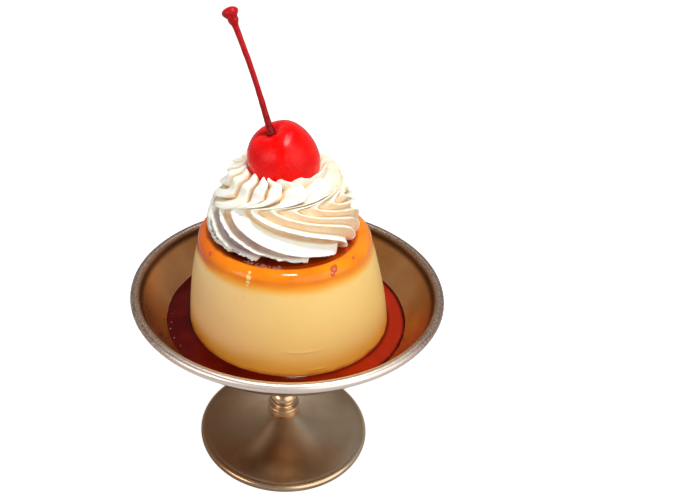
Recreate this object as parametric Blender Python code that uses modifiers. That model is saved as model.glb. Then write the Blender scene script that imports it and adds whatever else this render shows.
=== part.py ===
"""Caramel pudding with a piped cream rosette and a cherry, in a footed metal dish.

Metres, +Z up. The origin is the centre of the dish's foot, on the table, and -Y is the front.
The dish is turned about the origin's axis. The pudding sits a little to the right in the round bowl and sags
a little to the left, so it and what is on it stand on empties of their own.
"""

import math

import bmesh
import bpy
from mathutils import Matrix, Vector

MM = 0.001
GAP = 0.3 * MM  # left free between two pieces that touch

# Dish
SHEET = 1.0 * MM  # the bowl's and the foot's metal
RIM_RADIUS = 57.0 * MM
RIM_HEIGHT = 75.0 * MM
RIM_BEAD = 1.7 * MM
BOWL_FLOOR_HEIGHT = 52.0 * MM
BOWL_FLOOR_RADIUS = 20.6 * MM
BOWL_WALL_ARC = 36.0 * MM
BOWL_WALL_ANGLE = 67.0  # degrees that the wall's arc climbs through, from the floor to the rolled rim
FOOT_RADIUS = 34.5 * MM
FOOT_BEAD = 1.7 * MM
FOOT_BEAD_HEIGHT = 1.5 * MM  # of the bead's centre; its underside is cut flat at the table
FOOT_TOP_HEIGHT = 11.4 * MM
FOOT_TOP_RADIUS = 6.4 * MM
FOOT_FLARE = 1.9  # power of the trumpet curve
COLLAR_RADIUS = 6.5 * MM
COLLAR_HEIGHT = 15.2 * MM  # of its top, above the table
KNOP_RADIUS = 5.6 * MM
KNOP_HEIGHT = 18.6 * MM  # of its centre, above the table
COLUMN_RADIUS = 3.8 * MM
FLANGE_RADIUS = 9.0 * MM

# Pudding, above its own base
PUDDING_PLACE = (1.4 * MM, 0.0, 56.0 * MM)
PUDDING_SHEAR = -0.062  # its level sections shift this far in X for each unit of height
PUDDING_HEIGHT = 41.5 * MM
BASE_RADIUS = 37.1 * MM
TOP_RADIUS = 30.9 * MM
BASE_ROUNDING = 4.0 * MM
TOP_ROUNDING = 3.5 * MM
SAG = 3.5 * MM  # how far the soft base sinks to the bowl's floor
SIDE_BULGE = 0.9 * MM
LAYER_DEPTH = 4.2 * MM  # of the part that the caramel has soaked
DISH_DEPTH = 1.5 * MM  # of the hollow in its top
DISH_RADIUS = 23.6 * MM
DISH_RIM = 3.6 * MM  # width of the slope from the hollow to the rim
PUDDLE_LEVEL = 0.4 * MM  # below the pudding's rim
SAUCE_LEVEL = 60.9 * MM  # of the sauce in the bowl, above the table

# Cream, above the pudding's rim
TOPPING_PLACE = (-1.6 * MM, 0.0, 97.5 * MM)
FLUTES = 18
FLUTE_POINTS = 4
CREAM_RINGS = 13
CREAM_OUTLINE_MM = (  # (radius, height) along a flute's crest, from under the skirt to the cherry's seat
    (19.0, 0.0), (23.6, 0.5), (25.9, 2.2), (26.5, 4.8), (25.7, 9.0), (23.9, 13.6),
    (21.4, 17.6), (18.2, 21.0), (15.6, 23.6), (13.4, 25.0),
)  # fmt: skip
TAIL_TURN = 88.0  # degrees that a flute runs round the dome, from its tail to the shoulder
PETAL_TURN = 30.0  # degrees that it then runs back, over the shoulder
TIP_TURN = 12.0  # degrees that its tip curls over again
SKIRT = 0.16  # share of the outline at which a flute's tail ends
SHOULDER = 0.64  # share at which it hooks
PETAL = 0.84  # share at which it is furthest back

# Cherry
CHERRY_RADIUS = 12.0 * MM
CHERRY_PLACE = (-0.4 * MM, 0.0, 27.4 * MM)  # of its centre, from the middle of the pudding's rim
CHERRY_LEAN = (8.0, -24.0)  # degrees about X and Y
CHERRY_LENGTHENING = 0.5 * MM
DIMPLE_DEPTH = 2.4 * MM
DIMPLE_ANGLE = 23.0  # degrees from the cherry's axis at which the dimple fades
STALK_ROOT_HEIGHT = 0.7 * MM  # of the stalk's end above the bottom of the dimple, clear of its sloping side
STALK_END = (-12.7 * MM, 0.0, 39.2 * MM)  # from where the stalk leaves the dimple
STALK_BEND = 1.5 * MM  # of its middle to the right of a straight line
STALK_RADIUS = 1.05 * MM
KNOB_RADIUS = 2.3 * MM
KNOB_LENGTH = 4.6 * MM

DISH_STEPS = 48
FOOD_STEPS = 40
STEM_STEPS = 20

METAL = ((0.30, 0.23, 0.165, 1.0), 0.32, 1.0)
CUSTARD_YELLOW = ((0.90, 0.58, 0.20, 1.0), 0.35, 0.0)
CARAMEL_ORANGE = ((0.85, 0.24, 0.02, 1.0), 0.25, 0.0)
CARAMEL_DARK = ((0.16, 0.008, 0.002, 1.0), 0.08, 0.0)
CREAM_WHITE = ((0.95, 0.88, 0.72, 1.0), 0.5, 0.0)
CHERRY_RED = ((0.85, 0.01, 0.01, 1.0), 0.2, 0.0)
STALK_RED = ((0.50, 0.01, 0.015, 1.0), 0.35, 0.0)


def clear_scene():
    for obj in list(bpy.data.objects):
        bpy.data.objects.remove(obj)


def new_collection(name):
    made = bpy.data.collections.new(name)
    bpy.context.scene.collection.children.link(made)
    return made


def finish_of(name, look):
    """A Principled material from (colour, roughness, metallic)."""
    colour, roughness, metallic = look
    material = bpy.data.materials.new(name)
    material.use_nodes = True
    shader = material.node_tree.nodes["Principled BSDF"]
    shader.inputs["Base Color"].default_value = colour
    shader.inputs["Roughness"].default_value = roughness
    shader.inputs["Metallic"].default_value = metallic
    return material


def add(name, data, parts, look, holder=None):
    """An object in its collection, with its material, standing on the holder if it has one."""
    obj = bpy.data.objects.new(name, data)
    data.materials.append(finish_of(name, look))
    parts.objects.link(obj)
    obj.parent = holder
    return obj


def stand(name, place, parts):
    """An empty that other pieces stand on."""
    holder = bpy.data.objects.new(name, None)
    parts.objects.link(holder)
    holder.location = place
    return holder


def sag_left(obj):
    """Leans a piece of the pudding while its sections stay level."""
    obj.matrix_parent_inverse = Matrix.Shear("XY", 4, (PUDDING_SHEAR, 0.0))
    return obj


def arc(centre, radius, start, end, count):
    """Points on a circle in the (radius, height) plane, from one angle in degrees to another, ends included."""
    angles = [math.radians(start + (end - start) * i / count) for i in range(count + 1)]
    return [(centre[0] + radius * math.cos(a), centre[1] + radius * math.sin(a)) for a in angles]


def curve_through(points, count):
    """Evenly counted points on a smooth curve through the given ones (Catmull-Rom)."""
    knots = [Vector(p) for p in points]
    knots = [2 * knots[0] - knots[1], *knots, 2 * knots[-1] - knots[-2]]
    spans = len(points) - 1
    made = []
    for i in range(count + 1):
        place = min(i / count * spans, spans - 1e-9)
        k, t = int(place), place - int(place)
        a, b, c, d = knots[k : k + 4]
        made.append(
            0.5 * (2 * b + (c - a) * t + (2 * a - 5 * b + 4 * c - d) * t**2 + (3 * b - a - 3 * c + d) * t**3)
        )
    return made


def turned(name, outline, steps, parts, look, holder=None, closed=False):
    """An outline of (radius, height) turned about Z. At +X it runs down its outer side."""
    mesh = bpy.data.meshes.new(name)
    edges = [(i, i + 1) for i in range(len(outline) - 1)]
    if closed:
        edges.append((len(outline) - 1, 0))
    mesh.from_pydata([(radius, 0.0, height) for radius, height in outline], edges, [])
    obj = add(name, mesh, parts, look, holder)
    turn = obj.modifiers.new("Turn", "SCREW")
    turn.axis = "Z"
    turn.angle = math.tau
    turn.steps = turn.render_steps = steps
    turn.use_merge_vertices = True
    turn.merge_threshold = 1e-6
    turn.use_normal_calculate = False
    turn.use_smooth_shade = True
    return obj


def lofted(name, rings, bottom, top, parts, look, holder=None):
    """A closed skin over rings of points, listed upwards on the outside, with a pole at each end."""
    shell = bmesh.new()
    loops = [[shell.verts.new(p) for p in ring] for ring in rings]
    count = len(loops[0])
    low, high = shell.verts.new(bottom), shell.verts.new(top)
    for i in range(count):
        j = (i + 1) % count
        shell.faces.new((low, loops[0][j], loops[0][i]))
        for lower, upper in zip(loops, loops[1:]):
            shell.faces.new((lower[i], lower[j], upper[j], upper[i]))
        shell.faces.new((loops[-1][i], loops[-1][j], high))
    mesh = bpy.data.meshes.new(name)
    shell.to_mesh(mesh)
    shell.free()
    mesh.shade_smooth()
    return add(name, mesh, parts, look, holder)


def bowl_wall(offset, start, end, count):
    """The bowl's wall arc, moved out by offset, between two angles of climb in degrees."""
    centre = (BOWL_FLOOR_RADIUS, BOWL_FLOOR_HEIGHT + BOWL_WALL_ARC)
    return arc(centre, BOWL_WALL_ARC + offset, start - 90, end - 90, count)


def climb_to(height, offset):
    """The angle of climb at which the bowl's wall, moved out by offset, is at a height above the table."""
    return math.degrees(math.acos((BOWL_FLOOR_HEIGHT + BOWL_WALL_ARC - height) / (BOWL_WALL_ARC + offset)))


def dish_bowl(parts):
    """A spun bowl: flat floor, one round wall and a rolled rim."""
    bead = (RIM_RADIUS - RIM_BEAD, RIM_HEIGHT - RIM_BEAD)
    roll_start = BOWL_WALL_ANGLE + 90  # where the wall runs into the bead without a kink
    under_bead = climb_to(bead[1] - RIM_BEAD * 0.85, SHEET)
    outline = [
        (0.0, BOWL_FLOOR_HEIGHT),
        *bowl_wall(0.0, 0.0, BOWL_WALL_ANGLE, 6),
        *arc(bead, RIM_BEAD, roll_start - 22, -125, 6),
        *bowl_wall(SHEET, under_bead, 0.0, 4),
        (0.0, BOWL_FLOOR_HEIGHT - SHEET),
    ]
    return turned("dish_bowl", outline, DISH_STEPS, parts, METAL)


def trumpet(radius, height, drop, count):
    """The foot's curve, from the collar out to the bead, lowered by drop."""
    low = FOOT_BEAD_HEIGHT + FOOT_BEAD - 0.1 * MM
    inner, outer = radius, FOOT_RADIUS - 2.05 * FOOT_BEAD
    points = []
    for i in range(count + 1):
        t = i / count
        points.append((inner + (outer - inner) * t, low + (height - low) * (1 - t) ** FOOT_FLARE - drop))
    return points


def dish_foot(parts):
    """A pressed trumpet foot with a rolled edge, open underneath."""
    bead = (FOOT_RADIUS - FOOT_BEAD, FOOT_BEAD_HEIGHT)
    cut = math.degrees(math.asin(FOOT_BEAD_HEIGHT / FOOT_BEAD))  # where the bead meets the table
    outline = [
        (0.0, FOOT_TOP_HEIGHT),
        *trumpet(FOOT_TOP_RADIUS, FOOT_TOP_HEIGHT, 0.0, 5),
        *arc(bead, FOOT_BEAD, 110, -cut, 4),
        (FOOT_RADIUS - FOOT_BEAD - FOOT_BEAD * math.cos(math.radians(cut)), 0.0),
        (FOOT_RADIUS - 2 * FOOT_BEAD, FOOT_BEAD_HEIGHT * 0.8),
        *reversed(trumpet(FOOT_TOP_RADIUS, FOOT_TOP_HEIGHT, SHEET, 3)),
        (0.0, FOOT_TOP_HEIGHT - SHEET),
    ]
    return turned("dish_foot", outline, DISH_STEPS, parts, METAL)


def dish_stem(parts):
    """A turned stem: flange under the bowl, tapering column, round knop and a collar on the foot."""
    top = BOWL_FLOOR_HEIGHT - SHEET - GAP
    bottom = FOOT_TOP_HEIGHT + GAP
    flange = 1.2 * MM
    edge = 0.7 * MM
    knop = [
        (KNOP_RADIUS * math.cos(a), KNOP_HEIGHT + KNOP_RADIUS * 0.75 * math.sin(a))
        for a in (math.radians(d) for d in (48, 30, 10, -12, -36))
    ]
    flare = [
        (COLUMN_RADIUS + (FLANGE_RADIUS - COLUMN_RADIUS) * t**3, top - flange - 22.0 * MM * (1 - t))
        for t in (0.95, 0.75, 0.5, 0.2)
    ]
    outline = [
        (0.0, top),
        (FLANGE_RADIUS, top),
        (FLANGE_RADIUS, top - flange),
        *flare,
        *knop,
        (COLLAR_RADIUS - edge, COLLAR_HEIGHT),
        (COLLAR_RADIUS, COLLAR_HEIGHT - edge),
        (COLLAR_RADIUS, bottom + edge),
        (COLLAR_RADIUS - edge, bottom),
        (0.0, bottom),
    ]
    return turned("dish_stem", outline, STEM_STEPS, parts, METAL)


def side_radius(height):
    """The pudding's radius at a height above its base, with a slight bulge low on the side."""
    t = (height - BASE_ROUNDING) / (PUDDING_HEIGHT - TOP_ROUNDING - BASE_ROUNDING)
    bulge = SIDE_BULGE * math.sin(math.pi * min(max(t, 0.0), 1.0) ** 0.7)
    return BASE_RADIUS + (TOP_RADIUS - BASE_RADIUS) * t + bulge


def side(start, end, count, grow=0.0):
    """Points on the pudding's side between two heights."""
    heights = [start + (end - start) * i / count for i in range(count + 1)]
    return [(side_radius(h) + grow, h) for h in heights]


def sagging_base(grow=0.0):
    """The pudding's rounded bottom edge and its base, which sinks towards the bowl's floor."""
    corner = (BASE_RADIUS - BASE_ROUNDING, BASE_ROUNDING)
    base = [(radius * MM, -SAG * share) for radius, share in ((30.0, 0.33), (24.0, 0.84), (12.0, 1.0), (0.0, 1.0))]
    return [*arc(corner, BASE_ROUNDING + grow, -20, -80, 3), *base]


def custard(parts, holder):
    """The pale body, up to where the caramel has soaked in."""
    seam = PUDDING_HEIGHT - LAYER_DEPTH - GAP
    outline = [(0.0, seam), *side(seam, BASE_ROUNDING, 5), *sagging_base()]
    return sag_left(turned("custard", outline, FOOD_STEPS, parts, CUSTARD_YELLOW, holder))


def top_hollow(lift, reach, count):
    """The shallow hollow in the pudding's top, from its slope to the middle, raised by lift."""
    floor = PUDDING_HEIGHT - DISH_DEPTH + lift
    points = []
    for i in range(count + 1):
        t = reach * (1 - i / count)
        rise = DISH_DEPTH * (0.5 - 0.5 * math.cos(math.pi * t))
        points.append((DISH_RADIUS + DISH_RIM * t, floor + rise))
    return [*points, (0.0, floor)]


def caramel_layer(parts, holder):
    """The caramel-soaked top of the pudding, with a rounded rim and a hollow that holds sauce."""
    corner = (TOP_RADIUS - TOP_ROUNDING, PUDDING_HEIGHT - TOP_ROUNDING)
    outline = [
        *reversed(top_hollow(0.0, 1.0, 3)),
        *arc(corner, TOP_ROUNDING, 78, 12, 3),
        *side(PUDDING_HEIGHT - TOP_ROUNDING, PUDDING_HEIGHT - LAYER_DEPTH, 1),
        (0.0, PUDDING_HEIGHT - LAYER_DEPTH),
    ]
    return sag_left(turned("caramel_layer", outline, FOOD_STEPS, parts, CARAMEL_ORANGE, holder))


def caramel_puddle(parts, holder):
    """The dark sauce that stays in the hollow of the pudding's top."""
    depth = DISH_DEPTH - PUDDLE_LEVEL - GAP
    reach = math.acos(1 - 2 * depth / DISH_DEPTH) / math.pi  # where the slope, raised by the gap, meets the level
    level = PUDDING_HEIGHT - PUDDLE_LEVEL
    outline = [(0.0, level), *top_hollow(GAP, reach, 2)]
    return sag_left(turned("caramel_puddle", outline, FOOD_STEPS, parts, CARAMEL_DARK, holder))


def caramel_pool(parts, cutters, holder):
    """The sauce in the bowl, a ring round the pudding's foot."""
    inner = BASE_RADIUS - BASE_ROUNDING
    climb_start = math.degrees(math.asin((inner - BOWL_FLOOR_RADIUS) / (BOWL_WALL_ARC - GAP)))
    wall = bowl_wall(-GAP, climb_to(SAUCE_LEVEL, -GAP), climb_start, 4)
    outline = [*wall, (inner, SAUCE_LEVEL)]
    pool = turned("caramel_pool", outline, FOOD_STEPS, parts, CARAMEL_DARK, closed=True)
    shape = [(0.0, PUDDING_HEIGHT), *side(PUDDING_HEIGHT, BASE_ROUNDING, 5, GAP), *sagging_base(GAP)]
    cutter = sag_left(turned("pudding_room", shape, FOOD_STEPS, cutters, CUSTARD_YELLOW, holder))
    cutter.hide_render = True
    cutter.display_type = "WIRE"
    cut = pool.modifiers.new("Room for the pudding", "BOOLEAN")
    cut.operation = "DIFFERENCE"
    cut.object = cutter
    return pool


def flute_turn(share):
    """How far round a flute's crest is, in degrees from its tail, at a share of the way up the outline."""
    if share < SHOULDER:
        climbed = max(share - SKIRT, 0.0) / (SHOULDER - SKIRT)
        return -TAIL_TURN * (0.5 - 0.5 * math.cos(math.pi * climbed)) ** 0.9
    if share < PETAL:
        t = (share - SHOULDER) / (PETAL - SHOULDER)
        return -TAIL_TURN + PETAL_TURN * (0.5 - 0.5 * math.cos(math.pi * t))
    t = (share - PETAL) / (1 - PETAL)
    return -TAIL_TURN + PETAL_TURN - TIP_TURN * (0.5 - 0.5 * math.cos(math.pi * t))


def groove_depth(share):
    """Depth of the groove between two flutes: none under the skirt, deep on the side, deepest at the tips."""
    skirt = min(share / 0.12, 1.0)
    return (0.4 + 2.4 * skirt + 1.2 * max(share - PETAL, 0.0) / (1 - PETAL)) * MM


def cream_rosette(parts, holder):
    """A dome piped with a star nozzle: flutes that wind up the side, hook at the shoulder and curl to a tip."""
    outline = curve_through([Vector(p) * MM for p in CREAM_OUTLINE_MM], CREAM_RINGS)
    count = FLUTES * FLUTE_POINTS
    rings = []
    for k, point in enumerate(outline):
        share = k / CREAM_RINGS
        along = outline[min(k + 1, CREAM_RINGS)] - outline[max(k - 1, 0)]
        outward = Vector((along.y, -along.x)).normalized()
        ring = []
        for i in range(count):
            across = abs(math.sin(math.pi * i / FLUTE_POINTS))
            radius, height = point - outward * groove_depth(share) * across**0.8
            angle = math.radians(flute_turn(share)) + math.tau * i / count
            ring.append((radius * math.cos(angle), radius * math.sin(angle), height))
        rings.append(ring)
    seat = CHERRY_RADIUS + CHERRY_LENGTHENING + 2 * GAP
    for reach in (0.8, 0.45):
        height = CHERRY_PLACE[2] - seat * math.sqrt(1 - reach**2)
        angles = [math.tau * i / count + math.radians(flute_turn(1.0)) for i in range(count)]
        rings.append([(seat * reach * math.cos(a), seat * reach * math.sin(a), height) for a in angles])
    bottom = (0.0, 0.0, CREAM_OUTLINE_MM[0][1] * MM)
    top = (0.0, 0.0, CHERRY_PLACE[2] - seat)
    return lofted("cream_rosette", rings, bottom, top, parts, CREAM_WHITE, holder)


def cherry_skin(polar):
    """The cherry's radius at an angle from its axis: broad shoulders, a dimple on top and a longer lower end."""
    dimple = DIMPLE_DEPTH * math.exp(-((math.degrees(polar) / DIMPLE_ANGLE) ** 2))
    length = CHERRY_LENGTHENING * (0.5 - 0.5 * math.cos(polar)) ** 2
    return CHERRY_RADIUS - dimple + length


def cherry(parts, holder):
    """A round cherry, with its dimple at local +Z."""
    shell = bmesh.new()
    bmesh.ops.create_uvsphere(shell, u_segments=20, v_segments=14, radius=1.0)
    for vertex in shell.verts:
        vertex.co = vertex.co * cherry_skin(vertex.co.angle(Vector((0, 0, 1))))
    mesh = bpy.data.meshes.new("cherry")
    shell.to_mesh(mesh)
    shell.free()
    mesh.shade_smooth()
    fruit = add("cherry", mesh, parts, CHERRY_RED, holder)
    fruit.location = CHERRY_PLACE
    fruit.rotation_euler = (math.radians(CHERRY_LEAN[0]), math.radians(CHERRY_LEAN[1]), 0.0)
    return fruit


def stalk_thickness(share):
    """The stalk's radius, as a multiple of STALK_RADIUS: a root, a thin middle, and a knob at the far end."""
    knob_share = KNOB_LENGTH / Vector(STALK_END).length
    root = 0.35 * math.exp(-share / 0.06)
    swelling = 0.25 * share**3
    into_knob = (share - (1 - knob_share)) / knob_share
    if into_knob <= 0:
        return 1.0 + root + swelling
    knob = KNOB_RADIUS / STALK_RADIUS
    return (1.0 + swelling) + (knob - 1.0 - swelling) * math.sin(math.pi * min(0.18 + into_knob * 0.62, 1.0))


def cherry_stalk(parts, fruit):
    """The stalk: straight out of the dimple, then curving to the left, with a knob where it grew on the twig."""
    count = 16
    axis = fruit.rotation_euler.to_matrix() @ Vector((0, 0, 1))
    start = fruit.location + axis * (CHERRY_RADIUS - DIMPLE_DEPTH + STALK_ROOT_HEIGHT)
    end = start + Vector(STALK_END)
    middle = (start + end) / 2 + Vector((STALK_BEND, 0.0, 0.0))
    line = curve_through([start, middle, end], count)
    curve = bpy.data.curves.new("cherry_stalk", "CURVE")
    curve.dimensions = "3D"
    curve.bevel_depth = STALK_RADIUS
    curve.bevel_resolution = 1
    curve.use_fill_caps = True
    spline = curve.splines.new("POLY")
    spline.points.add(count)
    for k, (point, place) in enumerate(zip(spline.points, line)):
        point.co = (*place, 1.0)
        point.radius = stalk_thickness(k / count)
    return add("cherry_stalk", curve, parts, STALK_RED, fruit.parent)


def main():
    clear_scene()
    parts = new_collection("caramel pudding")
    cutters = new_collection("cutters")
    pudding = stand("pudding_place", PUDDING_PLACE, parts)
    topping = stand("topping_place", TOPPING_PLACE, parts)
    dish_bowl(parts)
    dish_stem(parts)
    dish_foot(parts)
    custard(parts, pudding)
    caramel_layer(parts, pudding)
    caramel_puddle(parts, pudding)
    caramel_pool(parts, cutters, pudding)
    cream_rosette(parts, topping)
    fruit = cherry(parts, topping)
    cherry_stalk(parts, fruit)


main()
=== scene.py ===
"""Caramel pudding with a piped cream rosette and a cherry, in a footed metal dish.

The shapes are worked out in millimetres and turned into metres when a mesh is made. -Y is the front.
"""

import math

import bpy
import numpy as np
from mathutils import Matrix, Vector, noise


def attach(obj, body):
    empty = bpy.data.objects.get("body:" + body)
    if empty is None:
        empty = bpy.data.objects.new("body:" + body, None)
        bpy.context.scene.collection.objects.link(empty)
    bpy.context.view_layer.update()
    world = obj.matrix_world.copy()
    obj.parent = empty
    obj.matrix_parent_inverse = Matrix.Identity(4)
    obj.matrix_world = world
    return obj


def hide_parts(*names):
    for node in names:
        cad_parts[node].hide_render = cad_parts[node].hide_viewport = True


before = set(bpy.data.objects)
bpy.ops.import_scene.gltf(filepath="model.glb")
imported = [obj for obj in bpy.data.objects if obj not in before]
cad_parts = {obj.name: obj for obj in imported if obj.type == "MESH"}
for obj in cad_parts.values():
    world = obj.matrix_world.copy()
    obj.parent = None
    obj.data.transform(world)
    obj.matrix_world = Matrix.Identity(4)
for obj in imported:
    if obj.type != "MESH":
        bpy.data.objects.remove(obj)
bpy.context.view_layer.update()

MM = 0.001

# Dish
SHEET = 1.0
RIM_RADIUS = 57.0
RIM_HEIGHT = 75.0
RIM_BEAD = 1.7
BOWL_FLOOR_HEIGHT = 52.0
BOWL_FLOOR_RADIUS = 20.6
BOWL_WALL_ARC = 36.0
BOWL_WALL_ANGLE = 67.0
FOOT_RADIUS = 34.5
FOOT_BEAD = 1.7
FOOT_BEAD_HEIGHT = 1.5
FOOT_TOP_HEIGHT = 11.4
FOOT_TOP_RADIUS = 6.4
FOOT_FLARE = 1.9
COLLAR_RADIUS = 6.5
COLLAR_HEIGHT = 15.2
KNOP_RADIUS = 5.6
KNOP_HEIGHT = 18.6
COLUMN_RADIUS = 3.8
FLANGE_RADIUS = 9.0
DISH_STEPS = 224

# Pudding, above its own base
PUDDING_PLACE = (1.4, 0.0, 56.0)
PUDDING_SHEAR = -0.062
PUDDING_HEIGHT = 41.5
BASE_RADIUS = 37.1
TOP_RADIUS = 30.9
BASE_ROUNDING = 4.0
TOP_ROUNDING = 3.5
SAG = 3.5
SIDE_BULGE = 0.9
HOLLOW_DEPTH = 1.5
HOLLOW_RADIUS = 23.6
HOLLOW_RIM = 3.6
PUDDLE_LEVEL = 0.4
SAUCE_LEVEL = 60.9
FOOD_STEPS = 256

# Cream, above the pudding's rim
TOPPING_PLACE = (-1.6, 0.0, 97.5)
CREAM_OUTLINE = (
    (19.0, 0.0), (23.6, 0.5), (25.9, 2.2), (26.5, 4.8), (25.7, 9.0), (23.9, 13.6),
    (21.4, 17.6), (18.2, 21.0), (15.6, 23.6), (13.4, 25.0),
)  # fmt: skip
FLUTES = 18
FLUTE_POINTS = 22
CREAM_ROWS = 200
FIRST_TAIL = -10.0  # degrees round from +X at which the first flute starts
FIRST_HOOK = -82.0  # degrees at which it hooks at the shoulder
TAIL_SHIFT = (0, 7, 14, 22, 17, -2, -5, 0, 4, 4, 2, 0, 0, 0, 0, 0, -2, -6)
HOOK_SHIFT = (0, 0, 1, 3, 9, 14, 12, 8, 4, 0, 0, 0, 0, 0, 0, 0, 0, 0)
HOOK_SHARE = (
    0.70, 0.70, 0.67, 0.62, 0.57, 0.51, 0.52, 0.56, 0.60,
    0.64, 0.66, 0.66, 0.66, 0.66, 0.66, 0.68, 0.69, 0.70,
)  # fmt: skip
TURN_DELAY = (
    2.2, 2.1, 1.75, 0.9, 0.9, 0.9, 1.0, 1.2, 1.4,
    1.5, 1.5, 1.5, 1.5, 1.5, 1.6, 1.8, 2.0, 2.2,
)  # fmt: skip
PETAL_SPAN = (
    0.07, 0.065, 0.11, 0.19, 0.20, 0.19, 0.20, 0.2, 0.2,
    0.18, 0.16, 0.16, 0.16, 0.16, 0.16, 0.16, 0.15, 0.14,
)  # fmt: skip
PETAL_TURN = (70, 58, 47, 40, 36, 34, 37, 43, 50, 57, 61, 65, 68, 70, 72, 74, 74, 72)
TIP_TURN = (25, 25, 20, 13, 4, 0, 0, 3, 6, 8, 10, 10, 12, 14, 16, 18, 20, 23)
VALLEY_PLACE = (0.80, 0.70, 0.40, 0.86, 0.88, 0.86, 0.80, 0.7, 0.7, 0.7, 0.7, 0.7, 0.7, 0.7, 0.7, 0.7, 0.75, 0.8)
GROOVE_DEPTH = (1.9, 2.2, 2.6, 1.5, 1.6, 1.7, 2.2, 2.6, 2.9, 2.9, 2.9, 2.9, 2.9, 2.9, 2.9, 2.9, 2.6, 2.2)
RAGGED = (0.0, 0.0, 0.1, 0.5, 1.0, 1.0, 0.8, 0.5, 0.3, 0.2, 0.2, 0.2, 0.2, 0.2, 0.1, 0.0, 0.0, 0.0)
TAIL_SHARE = 0.18
PETAL_VALLEY = 0.78
# For each flute, how far its painted shade goes from peach through tan to lavender, low down.
SHADE_HUE = (0.0, 0.05, 0.45, 0.8, 1.0, 1.0, 0.9, 0.5, 0.2, 0.1, 0.1, 0.1, 0.1, 0.1, 0.0, 0.0, 0.0, 0.0)

# Cherry
CHERRY_RADIUS = 12.0
CHERRY_PLACE = (-0.4, 0.0, 27.4)
CHERRY_LEAN = (8.0, -24.0)
CHERRY_LENGTHENING = 0.5
DIMPLE_DEPTH = 2.4
DIMPLE_ANGLE = 23.0
STALK_ROOT_HEIGHT = 0.3
STALK_END = (-12.7, 0.0, 39.2)
STALK_BEND = 0.6
STALK_THICKNESS = (
    (0.0, 1.6), (0.03, 1.3), (0.12, 1.05), (0.4, 0.92), (0.7, 0.9), (0.85, 0.98), (0.885, 1.35), (0.905, 1.6),
    (0.922, 1.5), (0.936, 1.8), (0.955, 2.3), (0.974, 2.3), (0.99, 1.6), (1.0, 0.2),
)  # fmt: skip


def rgb(red, green, blue):
    """A linear colour from the 0 to 255 values that it shows as."""
    shown = [value / 255 for value in (red, green, blue)]
    return (*[v / 12.92 if v <= 0.04045 else ((v + 0.055) / 1.055) ** 2.4 for v in shown], 1.0)


def smooth(low, high, value):
    t = np.clip((np.asarray(value, float) - low) / (high - low), 0.0, 1.0)
    return t * t * (3 - 2 * t)


def ripple(points, size, seed=0.0):
    """Smooth noise from -1 to 1 at each point, with features about size millimetres wide."""
    flat = np.asarray(points, float).reshape(-1, 3) / size
    values = [noise.noise(Vector((x + seed, y - seed, z + 2 * seed))) for x, y, z in flat]
    return np.array(values).reshape(np.asarray(points).shape[:-1])


def curve_through(points, count):
    """Points on a smooth curve through the given ones (Catmull-Rom)."""
    knots = np.array(points, float)
    knots = np.vstack([2 * knots[0] - knots[1], knots, 2 * knots[-1] - knots[-2]])
    place = np.minimum(np.linspace(0, len(points) - 1, count), len(points) - 1 - 1e-9)
    k = place.astype(int)
    t = (place - k)[:, None]
    a, b, c, d = (knots[k + i] for i in range(4))
    return 0.5 * (2 * b + (c - a) * t + (2 * a - 5 * b + 4 * c - d) * t**2 + (3 * b - a - 3 * c + d) * t**3)


def arc(centre, radius, start, end, count):
    angles = np.radians(np.linspace(start, end, count + 1))
    return np.stack([centre[0] + radius * np.cos(angles), centre[1] + radius * np.sin(angles)], axis=1)


def skin(name, grid, low=None, high=None, loop=False):
    """A mesh over rings of points, listed upwards on the outside, with a pole at each end or its ends joined."""
    rings, count = grid.shape[:2]
    points = grid.reshape(-1, 3)
    index = np.arange(rings * count).reshape(rings, count)
    upper = np.vstack([index[1:], index[:1]]) if loop else index[1:]
    lower = index if loop else index[:-1]
    quads = np.stack([lower, np.roll(lower, -1, 1), np.roll(upper, -1, 1), upper], axis=-1).reshape(-1, 4)
    faces = quads.tolist()
    if low is not None:
        points = np.vstack([points, low])
        faces += [(len(points) - 1, index[0, (i + 1) % count], index[0, i]) for i in range(count)]
    if high is not None:
        points = np.vstack([points, high])
        faces += [(index[-1, i], index[-1, (i + 1) % count], len(points) - 1) for i in range(count)]
    mesh = bpy.data.meshes.new(name)
    mesh.from_pydata((points * MM).tolist(), [], faces)
    mesh.shade_smooth()
    obj = bpy.data.objects.new(name, mesh)
    bpy.context.scene.collection.objects.link(obj)
    return obj


def spin(outline, steps, centre=(0.0, 0.0)):
    """Rings of points from an outline of (radius, height) listed from the bottom up on the outside."""
    angles = np.linspace(0, math.tau, steps, endpoint=False)
    radius, height = np.array(outline, float).T
    x = centre[0] + radius[:, None] * np.cos(angles)
    y = centre[1] + radius[:, None] * np.sin(angles)
    return np.stack([x, y, np.broadcast_to(height[:, None], x.shape)], axis=-1)


def mark(obj, name, values):
    """Stores a value for each point of a mesh, for its material to read. Poles get zero."""
    field = obj.data.attributes.new(name, "FLOAT", "POINT")
    filled = np.zeros(len(obj.data.vertices), np.float32)
    filled[: values.size] = values.reshape(-1)
    field.data.foreach_set("value", filled)


# Finishes


def put(tree, kind, settings=None, values=None, **inputs):
    """Adds a node. A value that is a socket is linked, and any other is written in the input."""
    node = tree.nodes.new(kind)
    for key, value in (settings or {}).items():
        setattr(node, key, value)
    for key, value in [*enumerate(values or []), *inputs.items()]:
        if value is None:
            continue
        socket = node.inputs[key if isinstance(key, int) else key.replace("_", " ")]
        if isinstance(value, bpy.types.NodeSocket):
            tree.links.new(value, socket)
        else:
            socket.default_value = value
    return node


def sums(tree, operation, *values, clamp=False):
    return put(tree, "ShaderNodeMath", {"operation": operation, "use_clamp": clamp}, values).outputs[0]


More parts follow.
